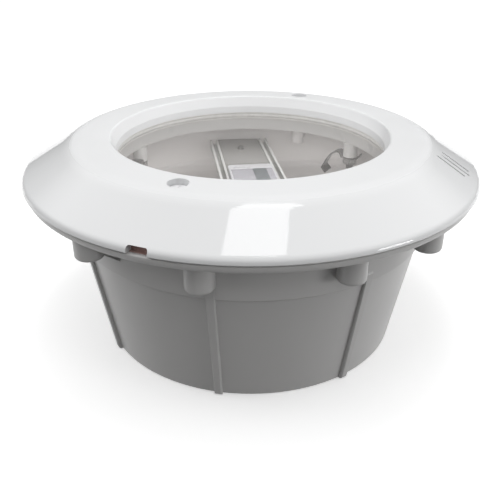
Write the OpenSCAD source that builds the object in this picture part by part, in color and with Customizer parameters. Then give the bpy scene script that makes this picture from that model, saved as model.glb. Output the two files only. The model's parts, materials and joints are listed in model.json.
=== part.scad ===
// Recessed underwater pool light: a niche bucket that is set into the pool wall, a face ring with a
// clear lens that lifts out of it, and a light module carried on two aluminium rails across the niche.
// Millimetres. +Z is the direction the light shines; the origin is the centre of the niche's flat base.

/* [Face ring] */
// Radius of the face ring at its rim
rim_r = 145; // [144:0.5:147]
// Radius where the flat land turns down into the sloping flange
crease_r = 113.5; // [112:0.5:115]
// Height of the lip round the opening
lip_z = 134.2; // [133.8:0.1:134.6]
// Radius of the opening at the top of its chamfer
lip_r = 89.3; // [88.8:0.1:89.8]
// Radius of the clear opening
opening_r = 86.2; // [85.5:0.1:86.8]
// Slope of the flange below the land, in degrees
flange_slope = 29.5; // [29:0.1:30]
// Thickness of the face ring's shell
shell_t = 2.8; // [2.4:0.1:3.2]

/* [Niche] */
// Outer radius of the bucket's wall at the base
base_r = 100; // [99:0.5:101]
// Outer radius of the bucket's wall where the collar starts
wall_top_r = 113.2; // [112.8:0.1:113.6]
// Height of the collar's lower edge
collar_z = 74; // [72:0.5:76]
// Radius of the niche's top flange
flange_r = 143.5; // [143:0.1:144]
// Height of the flange's underside, which bears on the pool wall
flange_z = 106.4; // [106:0.1:106.8]
// Thickness of the bucket's wall
wall_t = 2.5; // [2.2:0.1:2.8]
// How far a rib stands out from the wall
rib_h = 2.3; // [2:0.1:3]
// Width of a rib
rib_w = 5; // [4:0.2:5.6]

/* [Fixings] */
// Radius of the circle that the four wall-fixing ears stand on
ear_circle_r = 131; // [130:0.5:132]
// Radius of an ear's cup
ear_r = 8.3; // [7.5:0.1:8.6]
// Radius of the screw hole through each ear
ear_hole_r = 2.6; // [2.1:0.1:3]
// Radius of the circle that the two cover screws stand on
cover_screw_circle_r = 100.5; // [100:0.1:101]
// Radius of a cover screw's shank
cover_screw_r = 2.5; // [2.4:0.05:2.5]
// Radius of the circle that the clip posts stand on
clip_circle_r = 91; // [90.8:0.1:91.2]

/* [Rails and module] */
// Angle of the rails from the Y axis, in degrees
rail_angle = 7.9; // [6:0.1:9]
// Half the length of a rail
rail_half = 104; // [100:0.5:104.5]
// Width of a rail
rail_w = 6.2; // [5.8:0.1:6.6]
// Width of the plate between the rails
plate_w = 33.2; // [33:0.1:34]
// Length of the module's cover
cover_l = 68; // [66:0.5:70]

/* [Cable entry] */
// Height of the cable gland above the base
gland_z = 34; // [32:0.5:36]
// Radius of the cable that the gland takes
cable_r = 4.5; // [4:0.1:4.8]

/* [Hidden] */

$fn = 96;
ring_fn = 240;
eps = 0.01;

// Angles round the light, anticlockwise from +X seen from the front
rib_angles = [30.5, 79.3, 125.2, 210.5, 259.3, 305.2];
ear_phase = 48.5;
boss_angles = [77.3, 117, 257.3, 297];
cover_screw_angles = [68, 248];
clip_angles = [35.5, 152, 215.5, 332];
notch_angle = 247.8;
vent_angle = -17.8;
gland_angle = 90;

// Lean of the bucket's wall from upright, in degrees
wall_lean = atan((wall_top_r - base_r) / collar_z);

// Sizes that neighbouring pieces share
flange_top_z = flange_z + 5.2;
gasket_z = flange_top_z - 1;
gasket_t = 1.3;
gasket_lip_h = 3.9;
gasket_in_r = 136.5;
gasket_out_r = 141;
rim_z = gasket_z + gasket_t + 0.2;
lens_seat_z = 122.2;
lens_gasket_t = 0.8;
lens_t = 3.2;
lens_z = lens_seat_z - lens_gasket_t - lens_t;
lens_edge_r = 89.6;
retainer_top_z = lens_z - lens_gasket_t;
retainer_z = 108.4;
skirt_z = retainer_z + 0.8;
skirt_r = 91.2;
skirt_t = 3.2;
land_slope = 0.045;
recess_r = 6;
recess_floor_z = 128;
screw_hole_r = cover_screw_r + 0.25;
insert_bore_r = cover_screw_r + 0.06;
insert_r = 3.6;
lug_z = 96.8;
lug_r = 4.7;
lug_top_z = flange_top_z;
tower_z = lug_top_z + 0.4;
post_z = 98.5;
post_r = 5.2;
stud_r = 2.6;
clip_t = 1;
clip_w = 7.5;
clip_turn = 114.5;
clip_foot_w = 11;
clip_z = 97.3;
plate_z = 88.9;
plate_t = 4.1;
rail_x = (plate_w + rail_w) / 2;
rail_h = 6.2;
rail_slot_w = 3;
rail_slot_d = 3.6;
bracket_offset = 4.2;
bracket_screw_u = 86;
bracket_lug_in = 78;
housing_w = 27;
housing_l = 60;
housing_z = 70;
housing_flange_t = 2;
board_z = 90;
ledge = 2;
module_z = plate_z + plate_t;
cover_w = 31.7;
cover_t = 2.6;
module_seal_t = 0.8;
module_screw_r = 1.1;
window_w = 29.3;
window_l = 50;
window_t = 1.5;
window_ledge = 2;
vent_l = 18;
vent_w = 1.8;
vent_pitch = 6.1;
vent_tilt = -10.5;
vent_r = 129;
gland_pad_y = 110;
gland_inner_y = 100;
gland_thread_r = 8;

// Points of an arc round [cx, cy] from angle a0 to a1
function arc(cx, cy, r, a0, a1, n = 8) =
    [for (i = [0 : n]) let (a = a0 + (a1 - a0) * i / n) [cx + r * cos(a), cy + r * sin(a)]];
// Points of a soft corner from p0 to p2 that heads for p1
function soft(p0, p1, p2, n = 10) =
    [for (i = [0 : n]) let (t = i / n) (1 - t) * (1 - t) * p0 + 2 * t * (1 - t) * p1 + t * t * p2];
// Outer radius of the tapered bucket wall at height z
function wall_r(z) = base_r + (wall_top_r - base_r) * z / collar_z;
// Height of the flange's outer surface at radius r
crease_z = lip_z - (crease_r - lip_r) * land_slope;
function flange_surface_z(r) = crease_z - (r - crease_r) * tan(flange_slope);

// Places children on the circle of radius r at angle a
module at(a, r, z = 0) {
    rotate([0, 0, a]) translate([r, 0, z]) children();
}
// Turns children from the rails' own frame, with the rails along Y, into place
module on_bracket() {
    rotate([0, 0, rail_angle]) translate([bracket_offset, 0, 0]) children();
}
// Turns children, drawn along +Z, to lie along +Y at the gland's height
module on_gland() {
    translate([0, 0, gland_z]) rotate([-90, 0, 0]) children();
}
module tube(r_out, r_in, h) {
    difference() {
        cylinder(r = r_out, h = h);
        translate([0, 0, -1]) cylinder(r = r_in, h = h + 2);
    }
}
module hex(across_flats, h) {
    cylinder(r = across_flats / sqrt(3), h = h, $fn = 6);
}
// A block centred on X and Y with its corners rounded
module rounded_block(w, l, h, r) {
    linear_extrude(h) {
        square([w - 2 * r, l], center = true);
        square([w, l - 2 * r], center = true);
        for (x = [-1, 1], y = [-1, 1])
            translate([x * (w / 2 - r), y * (l / 2 - r)]) circle(r);
    }
}

// ---------------------------------------------------------------- niche

module niche_wall() {
    inner_top_r = wall_top_r - 0.8;
    rotate_extrude($fn = ring_fn) polygon(concat(
        [[0, 0], [base_r - 1.2, 0]],
        arc(base_r - 1.1, 1.2, 1.2, -90, 0, 4),
        [[wall_top_r, collar_z]],
        soft([wall_top_r, collar_z + 0.1], [wall_top_r + 1.5, collar_z + 0.1],
             [wall_top_r + 1.6, collar_z + 1.2], 4),
        soft([wall_top_r + 2.4, flange_z - 3], [wall_top_r + 2.5, flange_z],
             [wall_top_r + 5.5, flange_z], 5),
        soft([flange_r - 3, flange_z], [flange_r - 0.4, flange_z + 0.4], [flange_r, flange_z + 4], 6),
        [[flange_r, flange_top_z - 0.6], [flange_r - 0.6, flange_top_z],
         [gasket_out_r + 0.2, flange_top_z], [gasket_out_r + 0.2, gasket_z], [gasket_in_r - 0.2, gasket_z],
         [gasket_in_r - 0.2, flange_top_z], [inner_top_r, flange_top_z],
         [inner_top_r, collar_z + 3], [wall_top_r - wall_t + 0.3, collar_z + 1]],
        soft([wall_r(9) - wall_t, 9], [wall_r(3) - wall_t, 3.4], [base_r - 9, 3.4], 6),
        [[0, 3.4]]));
}
// A rib down the wall: a bar with two rounded outer edges, cut to the rib's outline from the side
module rib() {
    edge_r = 1.3;
    root = 1.6;
    intersection() {
        rotate([90, 0, 0]) translate([0, 0, -rib_w]) linear_extrude(2 * rib_w)
            polygon([[wall_r(0) - 1.4, 0.4], [wall_r(0) - 1, 0], [wall_r(0) + rib_h - 1, 0],
                     [wall_r(1) + rib_h, 1], [wall_r(collar_z) + rib_h, collar_z + 2],
                     [wall_r(collar_z) + rib_h, collar_z + 6], [wall_r(collar_z) + 1, collar_z + 9],
                     [wall_r(collar_z) - 0.4, collar_z + 9], [wall_r(collar_z) - 1.2, collar_z]]);
        translate([base_r, 0, 0]) rotate([0, wall_lean, 0]) translate([0, 0, -4]) linear_extrude(100) {
            translate([-root, -rib_w / 2]) square([root + rib_h - edge_r, rib_w]);
            translate([-root, edge_r - rib_w / 2]) square([root + rib_h, rib_w - 2 * edge_r]);
            for (y = [-1, 1]) translate([rib_h - edge_r, y * (rib_w / 2 - edge_r)]) circle(edge_r);
        }
    }
}
// A cup under the flange, with the hole for a wall-fixing screw
module ear() {
    ear_z = 92.5;
    translate([ear_circle_r, 0, 0]) rotate_extrude() polygon(concat(
        [[0, ear_z]], arc(ear_r - 2.5, ear_z + 2.5, 2.5, -90, 0, 6),
        [[ear_r, flange_z + 1], [0, flange_z + 1]]));
    rotate([90, 0, 0]) translate([0, 0, -4.5]) linear_extrude(9)
        polygon([[wall_top_r + 0.5, 84], [ear_circle_r - 5, ear_z + 1], [ear_circle_r, ear_z + 1],
                 [ear_circle_r, flange_z + 1], [wall_top_r + 0.5, flange_z + 1]]);
}
// A blind boss against the collar, with a flat foot
module boss() {
    boss_z = 83.5;
    edge_r = 2.2;
    difference() {
        translate([119.5, 0, 0]) rotate_extrude() polygon(concat(
            [[0, boss_z]], arc(ear_r - edge_r, boss_z + edge_r, edge_r, -90, 0, 4),
            [[ear_r, flange_z + 1], [0, flange_z + 1]]));
        cylinder(r = wall_top_r, h = flange_top_z);
    }
}
// A lug inside the wall for one cover screw
module screw_lug() {
    translate([cover_screw_circle_r, 0, lug_z]) cylinder(r = lug_r, h = lug_top_z - lug_z);
    translate([cover_screw_circle_r, -2.5, lug_z + 1])
        cube([wall_top_r - cover_screw_circle_r, 5, flange_top_z - lug_z - 1]);
}
// Shelves from the wall that carry the two ends of the bracket
module bracket_lugs() {
    intersection() {
        on_bracket() for (y = [-1, 1])
            translate([0, y * (bracket_lug_in + 20), plate_z - 4]) cube([20, 40, 8], center = true);
        cylinder(r = wall_top_r, h = plate_z);
    }
}
module niche_bucket() {
    color("gainsboro") difference() {
        union() {
            niche_wall();
            for (a = rib_angles) rotate([0, 0, a]) rib();
            for (i = [0 : 3]) rotate([0, 0, ear_phase + i * 90]) ear();
            for (a = boss_angles) rotate([0, 0, a]) boss();
            for (a = cover_screw_angles) rotate([0, 0, a]) screw_lug();
            bracket_lugs();
            on_gland() translate([0, 0, gland_inner_y])
                cylinder(r = 13, h = gland_pad_y - gland_inner_y);
        }
        for (i = [0 : 3]) at(ear_phase + i * 90, ear_circle_r, 80) cylinder(r = ear_hole_r, h = 40);
        for (a = cover_screw_angles) at(a, cover_screw_circle_r, 98.5) {
            cylinder(r = screw_hole_r, h = 20);
            translate([0, 0, 1.5]) cylinder(r = insert_r, h = 20);
        }
        for (y = [-1, 1]) on_bracket()
            translate([0, y * bracket_screw_u, plate_z - 6]) cylinder(r = 1.6, h = 10);
        on_gland() translate([0, 0, 90]) cylinder(r = gland_thread_r, h = 30);
    }
}
module niche_gasket() {
    color("rosybrown") translate([0, 0, gasket_z]) rotate_extrude($fn = ring_fn) {
        translate([gasket_in_r, 0]) square([gasket_out_r - gasket_in_r, gasket_t]);
        translate([gasket_in_r + 0.9, 0]) square([1.5, gasket_lip_h]);
    }
}
module thread_inserts() {
    color("goldenrod") for (a = cover_screw_angles)
        at(a, cover_screw_circle_r, 100) tube(insert_r, insert_bore_r, lug_top_z - 100);
}

// ---------------------------------------------------------------- cable gland

module gland_body() {
    color("dimgray") on_gland() difference() {
        union() {
            translate([0, 0, 92]) cylinder(r = gland_thread_r, h = 20);
            translate([0, 0, gland_pad_y + 1.2]) hex(22, 5);
            translate([0, 0, gland_pad_y + 1.2]) cylinder(r = 8.6, h = 12.8);
        }
        translate([0, 0, 90]) cylinder(r = cable_r + 0.8, h = 40);
        translate([0, 0, 117]) cylinder(r = 7, h = 10);
    }
}
module gland_washer() {
    color("black") on_gland() translate([0, 0, gland_pad_y]) tube(11.5, gland_thread_r, 1.2);
}
module gland_locknut() {
    color("dimgray") on_gland() translate([0, 0, gland_inner_y - 5]) difference() {
        hex(22, 5);
        translate([0, 0, -1]) cylinder(r = gland_thread_r, h = 7);
    }
}
module gland_seal() {
    color("black") on_gland() translate([0, 0, 117]) tube(7, cable_r, 10);
}
module gland_cap() {
    color("dimgray") on_gland() translate([0, 0, 117.5]) difference() {
        union() {
            hex(22, 8);
            translate([0, 0, 8]) cylinder(r1 = 10.8, r2 = 8, h = 5);
        }
        translate([0, 0, -1]) cylinder(r = 8.6, h = 10.5);
        cylinder(r = cable_r + 0.6, h = 20);
    }
}

// ---------------------------------------------------------------- rails and bracket

module rail(side) {
    on_bracket() translate([side * rail_x, 0, plate_z]) difference() {
        translate([-rail_w / 2, -rail_half, 0]) cube([rail_w, 2 * rail_half, rail_h]);
        translate([-rail_slot_w / 2, -rail_half - 1, rail_h - rail_slot_d])
            cube([rail_slot_w, 2 * rail_half + 2, rail_slot_d + 1]);
    }
}
module rail_left() {
    color("silver") rail(-1);
}
module rail_right() {
    color("silver") rail(1);
}
module bracket_plate() {
    color("gray") difference() {
        intersection() {
            on_bracket() translate([-plate_w / 2, -115, plate_z]) cube([plate_w, 230, plate_t]);
            cylinder(r = wall_top_r - 1.6, h = 200);
        }
        on_bracket() {
            translate([0, 0, plate_z - 1]) rounded_block(housing_w + 0.4, housing_l + 0.4, 10, 3);
            for (y = [-1, 1]) translate([0, y * bracket_screw_u, plate_z - 1]) cylinder(r = 2.1, h = 10);
            at_module_screws() translate([0, 0, plate_z - 1]) cylinder(r = module_screw_r + 0.1, h = 10);
        }
    }
}
module pan_screw(shank_r, head_r, length) {
    difference() {
        union() {
            translate([0, 0, -length]) cylinder(r = shank_r, h = length + 1);
            cylinder(r1 = head_r, r2 = head_r * 0.72, h = head_r * 0.65);
        }
        for (a = [0, 90]) rotate([0, 0, a]) translate([-head_r * 0.5, -head_r * 0.11, head_r * 0.3])
            cube([head_r, head_r * 0.22, head_r]);
    }
}
module bracket_screws() {
    color("silver") for (y = [-1, 1])
        on_bracket() translate([0, y * bracket_screw_u, module_z]) pan_screw(1.6, 2.8, plate_t + 4.5);
}

// ---------------------------------------------------------------- light module

// Places children at the four screws that come up through the bracket plate into the module's cover
module at_module_screws() {
    for (x = [-1, 1], y = [-1, 1]) translate([x * 11, y * (housing_l / 2 + 2.6), 0]) children();
}
module module_housing() {
    inner_w = housing_w - 4;
    inner_l = housing_l - 4;
    color("white") on_bracket() difference() {
        union() {
            translate([0, 0, housing_z])
                rounded_block(housing_w, housing_l, module_z - housing_z + 1, 2.8);
            translate([0, 0, module_z]) rounded_block(cover_w, cover_l, housing_flange_t, 2);
        }
        translate([0, 0, board_z]) rounded_block(inner_w, inner_l, 20, 1.5);
        translate([0, 0, housing_z + 2]) rounded_block(inner_w, inner_l - 2 * ledge, 40, 1.5);
        at_module_screws() translate([0, 0, module_z - 1]) cylinder(r = module_screw_r + 0.1, h = 10);
        translate([0, 0, housing_z + 8]) rotate([90, 0, 0]) cylinder(r = 4, h = 40);
    }
}
module module_seal() {
    color("black") on_bracket() translate([0, 0, module_z + housing_flange_t]) difference() {
        rounded_block(cover_w - 1, cover_l - 1, module_seal_t, 2);
        translate([0, 0, -1]) rounded_block(housing_w - 4, housing_l - 4, 4, 1.5);
        at_module_screws() translate([0, 0, -1]) cylinder(r = module_screw_r + 0.1, h = 4);
    }
}
module module_cover() {
    top_z = module_z + housing_flange_t + module_seal_t;
    color("white") on_bracket() translate([0, 0, top_z]) difference() {
        rounded_block(cover_w, cover_l, cover_t, 2);
        translate([0, 0, cover_t - window_t]) rounded_block(window_w, window_l, window_t + 1, 1);
        translate([0, 0, -1])
            rounded_block(window_w - 2 * window_ledge, window_l - 2 * window_ledge, 10, 1);
        at_module_screws() translate([0, 0, -1]) cylinder(r = module_screw_r + 0.1, h = cover_t);
    }
}
module module_window() {
    top_z = module_z + housing_flange_t + module_seal_t + cover_t - window_t;
    color("lightsteelblue") on_bracket() translate([0, 0, top_z])
        rounded_block(window_w, window_l, window_t, 1);
}
module led_board() {
    color("green") on_bracket() translate([0, 0, board_z]) rounded_block(22.8, 55.8, 1.6, 1.4);
}
module led_chips() {
    color("yellow") on_bracket() for (x = [-1, 1], y = [-2.5 : 1 : 2.5])
        translate([x * 6 - 2, y * 8.4 - 2, board_z + 1.6]) cube([4, 4, 1.2]);
}
module driver_unit() {
    color("dimgray") on_bracket() translate([0, 2, housing_z + 2]) rounded_block(20, 44, 14, 1.5);
}
module module_screws() {
    length = plate_t + housing_flange_t + module_seal_t + 1.4;
    color("silver") on_bracket() at_module_screws()
        translate([0, 0, plate_z]) rotate([180, 0, 0]) pan_screw(module_screw_r, 2, length);
}
module module_inlet() {
    color("dimgray") on_bracket() translate([0, 0, housing_z + 8]) rotate([90, 0, 0]) difference() {
        union() {
            translate([0, 0, housing_l / 2 - 3.5]) cylinder(r = 4, h = 5);
            translate([0, 0, housing_l / 2]) cylinder(r = 6, h = 4);
            translate([0, 0, housing_l / 2 + 4]) cylinder(r1 = 5.4, r2 = 4, h = 5);
        }
        translate([0, 0, 20]) cylinder(r = 2.6, h = 40);
    }
}

// ---------------------------------------------------------------- face ring

module ring_shell() {
    under = shell_t / cos(flange_slope);
    land_r = rim_r - 5.6;
    rotate_extrude($fn = ring_fn) polygon(concat(
        [[opening_r, lens_seat_z], [opening_r, lens_seat_z + 4.7]],
        soft([lip_r - 0.5, lip_z - 1], [lip_r, lip_z - 0.05], [lip_r + 0.9, lip_z - 0.02], 5),
        soft([crease_r - 5.5, crease_z + 5.5 * land_slope], [crease_r, crease_z],
             [crease_r + 6, flange_surface_z(crease_r + 6)], 10),
        soft([rim_r - 2.6, flange_surface_z(rim_r - 2.6)], [rim_r, flange_surface_z(rim_r)],
             [rim_r, rim_z + 0.6], 8),
        [[rim_r - 0.6, rim_z], [land_r, rim_z], [land_r, flange_surface_z(land_r) - under],
         [crease_r - 0.5, flange_surface_z(crease_r - 0.5) - under],
         [skirt_r + skirt_t + 1.5, crease_z - 2.6], [skirt_r + skirt_t, crease_z - 4.1],
         [skirt_r + skirt_t, skirt_z + 0.5], [skirt_r + skirt_t - 0.5, skirt_z], [skirt_r, skirt_z],
         [skirt_r, lens_seat_z]]));
}
// The tower under the land that a cover screw passes down
module screw_tower() {
    cylinder(r = 5.2, h = crease_z - 2 - tower_z);
    translate([0, 0, 124 - tower_z]) cylinder(r = recess_r + 1.8, h = crease_z - 1 - 124);
}
// The pry notch in the rim, with its two upper corners rounded
module rim_notch() {
    w = 12;
    h = 4.3;
    translate([134, 0, rim_z - 1]) rotate([90, 0, 90]) linear_extrude(20) {
        translate([-w / 2, 0]) square([w, h + 1 - 1.6]);
        translate([-w / 2 + 1.6, 0]) square([w - 3.2, h + 1]);
        for (x = [-1, 1]) translate([x * (w / 2 - 1.6), h + 1 - 1.6]) circle(1.6);
    }
}
module vent_slots() {
    at(vent_angle, vent_r, 112) rotate([0, 0, vent_tilt])
        for (i = [-1 : 1]) translate([-1.5 * abs(i), i * vent_pitch, 0])
            rounded_block(vent_l, vent_w, 25, vent_w / 2 - eps);
}
module face_ring() {
    color("white") difference() {
        union() {
            ring_shell();
            for (a = cover_screw_angles) at(a, cover_screw_circle_r, tower_z) screw_tower();
        }
        for (a = cover_screw_angles) {
            at(a, cover_screw_circle_r, 100) cylinder(r = screw_hole_r, h = 40);
            at(a, cover_screw_circle_r, recess_floor_z) cylinder(r = recess_r, h = 10);
        }
        rotate([0, 0, notch_angle]) rim_notch();
        vent_slots();
    }
}
module lens() {
    color("aliceblue", 0.4) translate([0, 0, lens_z]) cylinder(r = lens_edge_r, h = lens_t, $fn = ring_fn);
}
// A channel of soft rubber pushed over the lens's edge
module lens_gasket() {
    lip_in_r = opening_r + 0.6;
    color("gainsboro") rotate_extrude($fn = ring_fn) difference() {
        translate([lip_in_r, retainer_top_z])
            square([skirt_r - 0.2 - lip_in_r, lens_seat_z - retainer_top_z]);
        translate([0, lens_z]) square([lens_edge_r, lens_t]);
    }
}
module lens_retainer() {
    color("white") difference() {
        union() {
            rotate_extrude($fn = ring_fn)
                polygon([[87.3, retainer_top_z], [skirt_r, retainer_top_z], [skirt_r, retainer_z],
                         [88.3, retainer_z]]);
            for (a = clip_angles)
                at(a, clip_circle_r, post_z) cylinder(r = post_r, h = retainer_z - post_z + 0.5);
        }
        for (a = clip_angles) at(a, clip_circle_r, post_z - 1) cylinder(r = stud_r, h = 8);
    }
}
module clip_studs() {
    stud_z = 88.8;
    color("silver") for (a = clip_angles) at(a, clip_circle_r, stud_z)
        cylinder(r = stud_r, h = post_z + 7 - stud_z);
}
module clip_nuts() {
    nut_h = 4.2;
    color("silver") for (a = clip_angles) at(a, clip_circle_r, clip_z - 0.2 - nut_h) difference() {
        hex(9.4, nut_h);
        translate([0, 0, -1]) cylinder(r = stud_r, h = nut_h + 2);
    }
}
module screw_seals() {
    color("black") for (a = cover_screw_angles)
        at(a, cover_screw_circle_r, recess_floor_z) tube(5, screw_hole_r, 0.8);
}

// ---------------------------------------------------------------- clips

// Centre line of the bent strip from the side: tail, plate under the post, raised shoulder, hooked foot
clip_foot = [[20.5, 88], [17, 84]];
strip_path = concat(
    [[-8.6, 101.1], [-6.2, 97.8], [5.8, 97.8], [6.9, 100.7]],
    soft([8, 101.3], [14.4, 101.4], [18.9, 90.7], 6),
    clip_foot);
// Unit normal of a path at point i
function normal(p, i) =
    let (d = p[min(i + 1, len(p) - 1)] - p[max(i - 1, 0)]) [-d[1], d[0]] / norm(d);
// Outline of a strip of thickness t along a path
function strip(p, t) = concat(
    [for (i = [0 : len(p) - 1]) p[i] + normal(p, i) * t / 2],
    [for (i = [len(p) - 1 : -1 : 0]) p[i] - normal(p, i) * t / 2]);
module bent_strip(path, w) {
    rotate([90, 0, 0]) translate([0, 0, -w / 2]) linear_extrude(w) polygon(strip(path, clip_t));
}
module clip() {
    difference() {
        union() {
            bent_strip(strip_path, clip_w);
            bent_strip(clip_foot, clip_foot_w);
        }
        translate([0, 0, 90]) cylinder(r = stud_r + 0.06, h = 10);
        for (y = [-1, 1]) translate([-9.8, y * 0.6, 95]) rotate([0, 0, y * 38])
            translate([-12, y > 0 ? 0 : -12, 0]) cube([24, 12, 12]);
    }
}
module clip_at(i) {
    color("darkgray") at(clip_angles[i], clip_circle_r) rotate([0, 0, clip_turn]) clip();
}
module clip_rear_right() {
    clip_at(0);
}
module clip_rear_left() {
    clip_at(1);
}
module clip_front_left() {
    clip_at(2);
}
module clip_front_right() {
    clip_at(3);
}

// ---------------------------------------------------------------- cover screws

module cover_screw(i) {
    head_z = recess_floor_z + 0.8;
    head_r = recess_r - 0.3;
    color("whitesmoke") at(cover_screw_angles[i], cover_screw_circle_r, head_z) difference() {
        union() {
            translate([0, 0, -27.6]) cylinder(r = cover_screw_r, h = 28);
            rotate_extrude() polygon(concat([[0, 0], [head_r, 0]], arc(head_r - 0.6, 1.2, 0.6, 0, 70, 4),
                                            soft([head_r - 0.8, 1.79], [3, 2.2], [0, 2.2], 5)));
        }
        translate([-3.5, -0.5, 1.75]) cube([7, 1, 3]);
    }
}
module cover_screw_rear() {
    cover_screw(0);
}
module cover_screw_front() {
    cover_screw(1);
}

niche_bucket();
niche_gasket();
thread_inserts();
gland_body();
gland_washer();
gland_locknut();
gland_seal();
gland_cap();
rail_left();
rail_right();
bracket_plate();
bracket_screws();
module_housing();
module_seal();
module_cover();
module_window();
led_board();
led_chips();
driver_unit();
module_screws();
module_inlet();
face_ring();
lens();
lens_gasket();
lens_retainer();
clip_studs();
clip_nuts();
screw_seals();
clip_rear_right();
clip_rear_left();
clip_front_left();
clip_front_right();
cover_screw_rear();
cover_screw_front();
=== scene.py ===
"""Looks for the recessed pool light: materials, refined small hardware, studio, lights and camera.

Everything is in metres in the CAD frame: +Z is the way the light shines, the niche stands on z = 0.
"""

import json
import math

import bmesh
import bpy
from mathutils import Matrix, Vector

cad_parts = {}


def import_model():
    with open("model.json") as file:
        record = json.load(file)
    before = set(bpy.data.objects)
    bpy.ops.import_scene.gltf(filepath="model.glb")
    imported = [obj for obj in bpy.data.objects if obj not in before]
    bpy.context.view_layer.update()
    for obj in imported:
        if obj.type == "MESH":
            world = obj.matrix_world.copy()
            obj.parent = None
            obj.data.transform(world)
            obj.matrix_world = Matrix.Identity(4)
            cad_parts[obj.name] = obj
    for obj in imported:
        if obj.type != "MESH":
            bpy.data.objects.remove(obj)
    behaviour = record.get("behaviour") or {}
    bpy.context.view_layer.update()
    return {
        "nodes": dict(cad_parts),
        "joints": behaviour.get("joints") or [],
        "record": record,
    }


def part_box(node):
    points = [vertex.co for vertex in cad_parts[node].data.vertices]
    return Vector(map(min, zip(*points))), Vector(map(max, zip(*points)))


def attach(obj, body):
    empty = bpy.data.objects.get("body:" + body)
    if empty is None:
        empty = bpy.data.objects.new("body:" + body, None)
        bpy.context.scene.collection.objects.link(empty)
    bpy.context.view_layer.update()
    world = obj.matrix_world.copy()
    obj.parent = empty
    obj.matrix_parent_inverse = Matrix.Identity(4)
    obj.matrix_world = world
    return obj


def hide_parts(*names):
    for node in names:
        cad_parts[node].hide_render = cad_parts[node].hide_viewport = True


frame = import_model()
nodes = frame["nodes"]
MM = 0.001
# Stretches for streaks that run along one axis
ALONG_Y = (1.0, 0.04, 1.0)
ALONG_Z = (1.0, 1.0, 0.12)


# ---------------------------------------------------------------- shader helpers


class Shader:
    """A material whose nodes are added by name and joined by keyword."""

    def __init__(self, name):
        self.material = bpy.data.materials.new(name)
        self.material.use_nodes = True
        self.tree = self.material.node_tree
        self.bsdf = next(n for n in self.tree.nodes if n.type == "BSDF_PRINCIPLED")
        self.point = self.add("ShaderNodeTexCoord").outputs["Object"]

    def add(self, kind, settings=None, **inputs):
        node = self.tree.nodes.new(kind)
        for key, value in (settings or {}).items():
            setattr(node, key, value)
        for key, value in inputs.items():
            self.join(node, key.replace("_", " "), value)
        return node

    def join(self, node, key, value):
        if isinstance(value, bpy.types.NodeSocket):
            self.tree.links.new(value, node.inputs[key])
        else:
            node.inputs[key].default_value = value

    def set(self, **inputs):
        for key, value in inputs.items():
            self.join(self.bsdf, key.replace("_", " "), value)

    def scaled(self, scale):
        """The object's own coordinates, stretched by scale along each axis."""
        return self.add("ShaderNodeMapping", Vector=self.point, Scale=scale).outputs["Vector"]

    def noise(self, scale, detail=3.0, roughness=0.5, stretch=None):
        """Noise from 0 to 1, with scale in cycles per metre."""
        where = self.scaled(stretch) if stretch else self.point
        node = self.add("ShaderNodeTexNoise", Vector=where, Scale=scale, Detail=detail, Roughness=roughness)
        return node.outputs["Fac"]

    def remap(self, value, low, high, to_low, to_high):
        node = self.add("ShaderNodeMapRange", Value=value)
        for key, number in (("From Min", low), ("From Max", high), ("To Min", to_low), ("To Max", to_high)):
            node.inputs[key].default_value = number
        return node.outputs["Result"]

    def blend(self, factor, first, second):
        """The colour first where factor is 0 and second where it is 1."""
        node = self.add("ShaderNodeMix", {"data_type": "RGBA"})
        # Sockets 6 and 7 are the colours A and B, and output 2 is the mixed colour
        self.tree.links.new(factor, node.inputs["Factor"])
        for index, colour in ((6, first), (7, second)):
            if isinstance(colour, bpy.types.NodeSocket):
                self.tree.links.new(colour, node.inputs[index])
            else:
                node.inputs[index].default_value = (*colour, 1.0)
        return node.outputs[2]

    def maths(self, operation, first, second=0.0):
        node = self.add("ShaderNodeMath", {"operation": operation})
        for index, value in enumerate((first, second)):
            if isinstance(value, bpy.types.NodeSocket):
                self.tree.links.new(value, node.inputs[index])
            else:
                node.inputs[index].default_value = value
        return node.outputs[0]

    def radius(self):
        """Distance from the light's own axis."""
        parts = self.add("ShaderNodeSeparateXYZ", Vector=self.point)
        x = self.maths("MULTIPLY", parts.outputs["X"], parts.outputs["X"])
        y = self.maths("MULTIPLY", parts.outputs["Y"], parts.outputs["Y"])
        return self.maths("SQRT", self.maths("ADD", x, y))

    def height(self):
        """Height above the niche's base."""
        return self.add("ShaderNodeSeparateXYZ", Vector=self.point).outputs["Z"]

    def bump(self, value, depth, normal=None):
        node = self.add("ShaderNodeBump", Height=value, Distance=depth, Strength=1.0)
        if normal is not None:
            self.tree.links.new(normal, node.inputs["Normal"])
        return node.outputs["Normal"]


def shade(colour, by):
    """The colour made lighter or darker by a share."""
    return tuple(max(0.0, min(1.0, c * (1 + by))) for c in colour)


# ---------------------------------------------------------------- materials


def moulded_plastic(name, colour, rough, grain=0.00002):
    """Moulded plastic: a faint cloudy tone, slight flow marks and a fine texture, grain metres deep."""
    s = Shader(name)
    cloud = s.noise(22.0, 4.0, 0.55)
    s.set(Base_Color=s.blend(cloud, shade(colour, -0.03), shade(colour, 0.03)))
    s.set(Roughness=s.remap(s.noise(60.0, 5.0, 0.6), 0.3, 0.7, rough - 0.04, rough + 0.06))
    waves = s.bump(s.noise(9.0, 2.0, 0.4), grain * 9)
    s.set(Normal=s.bump(s.noise(2600.0, 2.0, 0.5), grain, waves))
    return s.material


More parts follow.
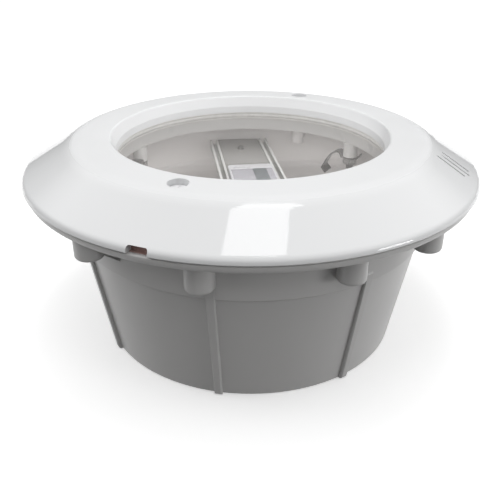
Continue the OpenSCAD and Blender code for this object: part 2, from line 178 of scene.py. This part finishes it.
def face_plastic():
    """Glossy white ABS whose flat land is finished to a satin texture up to the crease."""
    s = Shader("face_plastic")
    white = (0.75, 0.755, 0.76)
    cloud = s.noise(22.0, 4.0, 0.55)
    s.set(Base_Color=s.blend(cloud, shade(white, -0.012), shade(white, 0.012)), IOR=1.5)
    land = s.remap(s.radius(), 112.5 * MM, 116.5 * MM, 1.0, 0.0)
    uneven = s.noise(60.0, 5.0, 0.6)
    gloss = s.remap(uneven, 0.3, 0.7, 0.04, 0.06)
    satin = s.remap(uneven, 0.3, 0.7, 0.40, 0.50)
    mix = s.add("ShaderNodeMix", {"data_type": "FLOAT"})
    # Sockets 0, 2 and 3 are the factor and the values A and B
    for index, value in ((0, land), (2, gloss), (3, satin)):
        s.tree.links.new(value, mix.inputs[index])
    s.set(Roughness=mix.outputs[0])
    grain = s.maths("MULTIPLY", s.noise(3200.0, 2.0, 0.5), land)
    waves = s.bump(s.noise(7.0, 2.0, 0.4), 0.00006)
    s.set(Normal=s.bump(grain, 0.00002, waves))
    return s.material


def niche_plastic():
    """Light grey ABS, with painted light making the inner face paler and painted shade making the outer
    face darker.
    """
    s = Shader("niche_plastic")
    base_r = 100 * MM
    collar_r = 113.2 * MM
    collar_z = 74 * MM
    # How far the tapered outer wall stands out beyond its radius at the base
    lean = s.maths("MULTIPLY", s.maths("MINIMUM", s.height(), collar_z), (collar_r - base_r) / collar_z)
    upright = s.maths("SUBTRACT", s.radius(), lean)
    inside = s.remap(upright, base_r - 0.6 * MM, base_r - 0.2 * MM, 1.0, 0.0)
    cloud = s.noise(22.0, 4.0, 0.55)
    # Painted light and shade: the inner tone is paler as painted light, the outer tone darker as painted
    # shade
    outer = s.blend(cloud, (0.52, 0.515, 0.51), (0.54, 0.535, 0.53))
    inner = s.blend(cloud, (0.68, 0.655, 0.645), (0.71, 0.685, 0.675))
    s.set(Base_Color=s.blend(inside, outer, inner))
    s.set(Roughness=s.remap(s.noise(30.0, 2.0, 0.5), 0.3, 0.7, 0.30, 0.35))
    s.set(Normal=s.bump(s.noise(8.0, 2.0, 0.4), 0.00004))
    return s.material


def brushed_metal(name, colour, rough, stretch, metallic=1.0):
    """Metal with fine streaks along the axis where stretch is smallest."""
    s = Shader(name)
    streaks = s.noise(900.0, 4.0, 0.65, stretch)
    cloud = s.noise(70.0, 4.0, 0.55)
    base = s.blend(streaks, shade(colour, -0.14), shade(colour, 0.12))
    s.set(Base_Color=s.blend(s.remap(cloud, 0.35, 0.75, 0.0, 0.35), base, shade(colour, -0.3)))
    s.set(Roughness=s.remap(streaks, 0.2, 0.8, rough - 0.07, rough + 0.1), Metallic=metallic)
    s.set(Normal=s.bump(streaks, 0.00001))
    return s.material


def rail_aluminium():
    """Natural anodised extrusion, grey in its slot from its own tone and painted shade, and bright along
    its top edges as a painted highlight.
    """
    s = Shader("rail_aluminium")
    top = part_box("rail_left")[1].z
    # Painted highlight on the top edges, painted shade in the slot below them
    top_edge_highlight_mask = s.remap(s.height(), top - 0.6 * MM, top - 0.2 * MM, 0.0, 1.0)
    streaks = s.noise(900.0, 4.0, 0.65, ALONG_Y)
    slot = s.blend(streaks, (0.33, 0.335, 0.32), (0.42, 0.42, 0.40))
    painted_highlight_tone = s.blend(streaks, (0.70, 0.70, 0.69), (0.80, 0.80, 0.79))
    s.set(Base_Color=s.blend(top_edge_highlight_mask, slot, painted_highlight_tone), Metallic=0.35)
    s.set(Roughness=s.remap(streaks, 0.2, 0.8, 0.3, 0.45))
    s.set(Normal=s.bump(streaks, 0.00001))
    return s.material


def rubber(name, colour):
    """Moulded silicone rubber with a dusty bloom."""
    s = Shader(name)
    bloom = s.noise(180.0, 5.0, 0.6)
    s.set(Base_Color=s.blend(bloom, shade(colour, -0.15), shade(colour, 0.25)))
    s.set(Roughness=s.remap(bloom, 0.3, 0.7, 0.55, 0.75))
    s.set(Normal=s.bump(s.noise(1500.0, 2.0, 0.5), 0.00003))
    return s.material


def clear_lens():
    """Clear polycarbonate, faintly hazed, with moulding ripples."""
    s = Shader("clear_lens")
    ripple = s.noise(12.0, 2.0, 0.4)
    s.set(Base_Color=s.blend(ripple, (0.62, 0.60, 0.58), (0.70, 0.68, 0.66)))
    s.set(Roughness=s.remap(s.noise(40.0, 3.0, 0.5), 0.3, 0.7, 0.03, 0.08))
    s.set(Alpha=0.11, IOR=1.45)
    s.set(Normal=s.bump(ripple, 0.00002))
    return s.material


def module_pane():
    """Glossy opal pane over the LEDs, with a cool cast."""
    s = Shader("module_pane")
    cloud = s.noise(35.0, 4.0, 0.5)
    s.set(Base_Color=s.blend(cloud, (0.30, 0.295, 0.325), (0.35, 0.345, 0.375)))
    s.set(Roughness=s.remap(cloud, 0.3, 0.7, 0.03, 0.07), IOR=1.6)
    s.set(Normal=s.bump(s.noise(14.0, 2.0, 0.5), 0.00002))
    return s.material


def painted_reflection_film():
    """Dark blue-grey film laid on the pane as a painted reflection."""
    s = Shader("painted_reflection_film")
    cloud = s.noise(120.0, 3.0, 0.5)
    s.set(Base_Color=s.blend(cloud, (0.075, 0.09, 0.10), (0.10, 0.115, 0.125)))
    s.set(Roughness=s.remap(cloud, 0.3, 0.7, 0.12, 0.2))
    return s.material


MAKERS = {
    "niche_plastic": niche_plastic,
    "face_plastic": face_plastic,
    "retainer_plastic": lambda: moulded_plastic("retainer_plastic", (0.52, 0.512, 0.50), 0.3),
    "screw_plastic": lambda: moulded_plastic("screw_plastic", (0.78, 0.78, 0.79), 0.3, grain=0.00001),
    "clear_lens": clear_lens,
    "seal_rubber": lambda: rubber("seal_rubber", (0.05, 0.05, 0.05)),
    "lens_rubber": lambda: rubber("lens_rubber", (0.66, 0.65, 0.63)),
    "brown_rubber": lambda: rubber("brown_rubber", (0.40, 0.26, 0.235)),
    "brass": lambda: brushed_metal("brass", (0.74, 0.55, 0.27), 0.3, ALONG_Z),
    "gland_plastic": lambda: moulded_plastic("gland_plastic", (0.10, 0.105, 0.11), 0.42),
    "rail_aluminium": rail_aluminium,
    "plate_aluminium": lambda: brushed_metal(
        "plate_aluminium", (0.30, 0.293, 0.283), 0.5, ALONG_Y, metallic=0.3),
    "stainless": lambda: brushed_metal("stainless", (0.34, 0.335, 0.33), 0.3, ALONG_Z, metallic=0.7),
    "spring_steel": lambda: brushed_metal(
        "spring_steel", (0.10, 0.097, 0.094), 0.42, ALONG_Z, metallic=0.7),
    "module_plastic": lambda: moulded_plastic("module_plastic", (0.50, 0.50, 0.52), 0.3),
    "module_pane": module_pane,
    "board": lambda: moulded_plastic("board", (0.80, 0.80, 0.76), 0.4, grain=0.00001),
    "led": lambda: moulded_plastic("led", (0.85, 0.68, 0.16), 0.3, grain=0.0),
    "driver_plastic": lambda: moulded_plastic("driver_plastic", (0.03, 0.03, 0.035), 0.5),
}
MATERIALS = {slot: make() for slot, make in MAKERS.items()}
SLOT_OF = {row["node"]: row["material_slot"] for row in frame["record"]["subparts"]}

for name, obj in nodes.items():
    obj.data.materials.clear()
    obj.data.materials.append(MATERIALS[SLOT_OF[name]])


# ---------------------------------------------------------------- refined pieces

RAIL_ANGLE = math.radians(7.9)
BRACKET_OFFSET = 4.2 * MM
CLIP_JOINTS = [j for j in frame["joints"] if j["name"].endswith("_swing")]


def piece(name, mesh, body, slot, material=None):
    """A new visible piece that rides on a body and takes its slot's finish, or the material given."""
    obj = bpy.data.objects.new(name, mesh)
    bpy.context.scene.collection.objects.link(obj)
    mesh.materials.append(material or MATERIALS[slot])
    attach(obj, body)
    return obj


def lathe(name, profile, body, slot, centres=((0.0, 0.0),), steps=96, closed=False, material=None):
    """Solids of revolution about upright axes at centres, from a profile of (radius, height).

    The profile's two ends are capped, or joined to each other to make a ring where closed is true.
    """
    turns = [math.tau * i / steps for i in range(steps)]
    bm = bmesh.new()
    for x, y in centres:
        rings = []
        for radius, z in profile:
            ring = [bm.verts.new((x + radius * math.cos(a), y + radius * math.sin(a), z)) for a in turns]
            rings.append(ring)
        if closed:
            rings.append(rings[0])
        else:
            bm.faces.new(list(reversed(rings[0])))
            bm.faces.new(rings[-1])
        for low, high in zip(rings, rings[1:]):
            for i in range(steps):
                j = (i + 1) % steps
                bm.faces.new((low[i], low[j], high[j], high[i]))
    bmesh.ops.recalc_face_normals(bm, faces=bm.faces)
    mesh = bpy.data.meshes.new(name)
    bm.to_mesh(mesh)
    bm.free()
    return piece(name, mesh, body, slot, material)


def painted_light_band():
    """A pale band round the lens's edge, just inside its surface, painted light over the shaded channel
    behind it.
    """
    gap = 0.05 * MM
    lens_low, lens_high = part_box("lens")
    inner = 86.85 * MM
    outer = lens_high.x - gap
    bottom = lens_low.z + gap
    top = lens_high.z - gap
    outline = [(inner, bottom), (outer, bottom), (outer, top), (inner, top)]
    ring = lathe("lens_frosted_edge", outline, "face", "clear_lens", steps=240, closed=True,
                 material=MATERIALS["lens_rubber"])
    for face in ring.data.polygons:
        face.use_smooth = True


def threaded_studs():
    """The four clip studs with a groove for each turn of thread, in place of the plain CAD pins."""
    low, high = (corner.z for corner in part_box("clip_studs"))
    crest = 2.6 * MM
    root = 2.15 * MM
    pitch = 0.9 * MM
    crest_width = 0.15 * MM
    chamfer = 0.6 * MM
    thread_top = low + 8 * MM
    outline = [(crest - chamfer, low)]
    z = low + 0.5 * MM
    while z + pitch < thread_top:
        outline += [(crest, z), (crest, z + crest_width), (root, z + 0.5 * pitch), (root, z + 0.6 * pitch)]
        z += pitch
    outline += [(crest, z), (crest, high)]
    centres = [(j["pos_m"][0], j["pos_m"][1]) for j in CLIP_JOINTS]
    studs = lathe("threaded_studs", outline, "face", "stainless", centres, steps=48)
    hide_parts("clip_studs")


def painted_reflection_strip():
    """A dark strip on one side of the module's pane, laid on as a painted reflection."""
    width = 9.6 * MM
    length = 24 * MM
    thickness = 0.3 * MM
    pane_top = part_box("module_window")[1].z
    middle = (BRACKET_OFFSET + 5.4 * MM, 12.3 * MM, pane_top + thickness / 2)
    shape = Matrix.Diagonal((width, length, thickness, 1.0))
    bm = bmesh.new()
    bmesh.ops.create_cube(bm, size=1.0)
    bm.transform(Matrix.Rotation(RAIL_ANGLE, 4, "Z") @ Matrix.Translation(middle) @ shape)
    bmesh.ops.bevel(bm, geom=bm.edges[:], offset=0.12 * MM, segments=2, affect="EDGES")
    mesh = bpy.data.meshes.new("painted_reflection_strip")
    bm.to_mesh(mesh)
    bm.free()
    piece("painted_reflection_strip", mesh, "niche", "module_pane", painted_reflection_film())


# Painted light round the lens's edge
painted_light_band()
threaded_studs()
# A painted reflection laid on the module's pane
painted_reflection_strip()
# The retaining ring shares the face's slot but is greyer than the face
nodes["lens_retainer"].data.materials[0] = MATERIALS["retainer_plastic"]


# ---------------------------------------------------------------- studio


def area_light(name, place, target, size, watts, glossy=True, spread=180):
    """A soft panel at place, turned to target, that the camera doesn't see; size is in metres."""
    data = bpy.data.lights.new(name, "AREA")
    data.shape = "RECTANGLE"
    data.size, data.size_y = size
    data.spread = math.radians(spread)
    data.energy = watts
    light = bpy.data.objects.new(name, data)
    light.location = place
    light.rotation_mode = "QUATERNION"
    light.rotation_quaternion = (Vector(target) - Vector(place)).to_track_quat("-Z", "Y")
    light.visible_camera = False
    light.visible_glossy = glossy
    bpy.context.scene.collection.objects.link(light)


def floor():
    """A plain pale floor that glows a little; the object mirrors it but isn't lit diffusely by it."""
    bpy.ops.mesh.primitive_plane_add(size=16)
    plane = bpy.context.active_object
    plane.name = "studio_floor"
    s = Shader("studio_floor")
    s.set(Base_Color=s.blend(s.noise(3.0, 2.0), (0.93, 0.93, 0.93), (0.94, 0.94, 0.94)))
    s.set(Roughness=0.9, Emission_Color=(1.0, 1.0, 1.0, 1.0), Emission_Strength=0.3)
    plane.data.materials.append(s.material)
    plane.visible_diffuse = False


def backdrop():
    """A pale wall far behind the floor, seen by the camera only."""
    bpy.ops.mesh.primitive_cylinder_add(vertices=96, radius=7.5, depth=8.0, end_fill_type="NOTHING")
    wall = bpy.context.active_object
    wall.name = "studio_backdrop"
    s = Shader("studio_backdrop")
    s.set(Base_Color=s.blend(s.noise(2.0, 2.0), (0.93, 0.93, 0.93), (0.94, 0.94, 0.94)))
    s.set(Roughness=0.9, Emission_Color=(1.0, 1.0, 1.0, 1.0), Emission_Strength=0.8)
    wall.data.materials.append(s.material)
    for ray in ("diffuse", "glossy", "transmission", "volume_scatter", "shadow"):
        setattr(wall, "visible_" + ray, False)


def world(below, horizon, above):
    """A dome that is dim below the floor and at the horizon and bright overhead."""
    made = bpy.data.worlds.new("studio")
    bpy.context.scene.world = made
    made.use_nodes = True
    tree = made.node_tree
    background = next(n for n in tree.nodes if n.type == "BACKGROUND")
    where = tree.nodes.new("ShaderNodeTexCoord")
    parts = tree.nodes.new("ShaderNodeSeparateXYZ")
    ramp = tree.nodes.new("ShaderNodeValToRGB")
    half = tree.nodes.new("ShaderNodeMapRange")
    half.inputs["From Min"].default_value = -1.0
    stops = ((0.0, below), (0.48, below), (0.52, horizon), (0.66, horizon * 1.2),
             (0.77, above), (0.9, above * 0.92), (1.0, above * 0.8))
    while len(ramp.color_ramp.elements) < len(stops):
        ramp.color_ramp.elements.new(0.5)
    for element, (place, grey) in zip(ramp.color_ramp.elements, stops):
        element.position = place
        element.color = (grey, grey, grey, 1.0)
    tree.links.new(where.outputs["Generated"], parts.inputs["Vector"])
    tree.links.new(parts.outputs["Z"], half.inputs["Value"])
    tree.links.new(half.outputs["Result"], ramp.inputs["Fac"])
    tree.links.new(ramp.outputs["Color"], background.inputs["Color"])


floor()
backdrop()
world(0.02, 0.05, 1.08)
area_light("top_softbox", (0.075, 0.10, 1.3), (0.04, 0, 0.1), (0.34, 0.52), 2.2)
area_light("front_top", (0.0, -0.62, 1.9), (0, 0, 0.12), (0.6, 0.5), 2.5, glossy=False)
area_light("left_high", (-1.3, 0.3, 1.0), (0, 0, 0.1), (0.9, 0.6), 4.0, glossy=False)
area_light("right_high", (1.3, 0.3, 1.0), (0, 0, 0.1), (0.9, 0.6), 2.4, glossy=False)
area_light("left_fill", (-1.6, -0.6, 0.15), (0, 0, 0.07), (0.9, 0.4), 2.8, glossy=False)
area_light("right_key", (1.5, 0.16, 0.11), (0, 0, 0.07), (0.18, 0.18), 1.6, glossy=False)
area_light("right_fill", (1.45, -0.68, 0.12), (0, 0, 0.07), (0.5, 0.4), 7.0)
# Just under the lens, for the inside of the niche
area_light("niche_fill", (0.0, -0.03, 0.1165), (-0.02, 0.1, 0.045), (0.14, 0.09), 0.062,
           glossy=False, spread=150)


# ---------------------------------------------------------------- camera


def camera():
    """The view from in front and above, at about half a metre from the face."""
    place = (0.0, -0.40944, 0.25718)
    look = Vector((-0.00634, 0.89209, -0.45181))
    data = bpy.data.cameras.new("camera")
    data.sensor_width = 36.0
    data.lens = 47.56
    data.clip_start = 10 * MM
    made = bpy.data.objects.new("camera", data)
    made.location = place
    made.rotation_mode = "QUATERNION"
    made.rotation_quaternion = look.to_track_quat("-Z", "Y")
    bpy.context.scene.collection.objects.link(made)
    bpy.context.scene.camera = made


camera()
bpy.context.scene.view_settings.view_transform = "Standard"
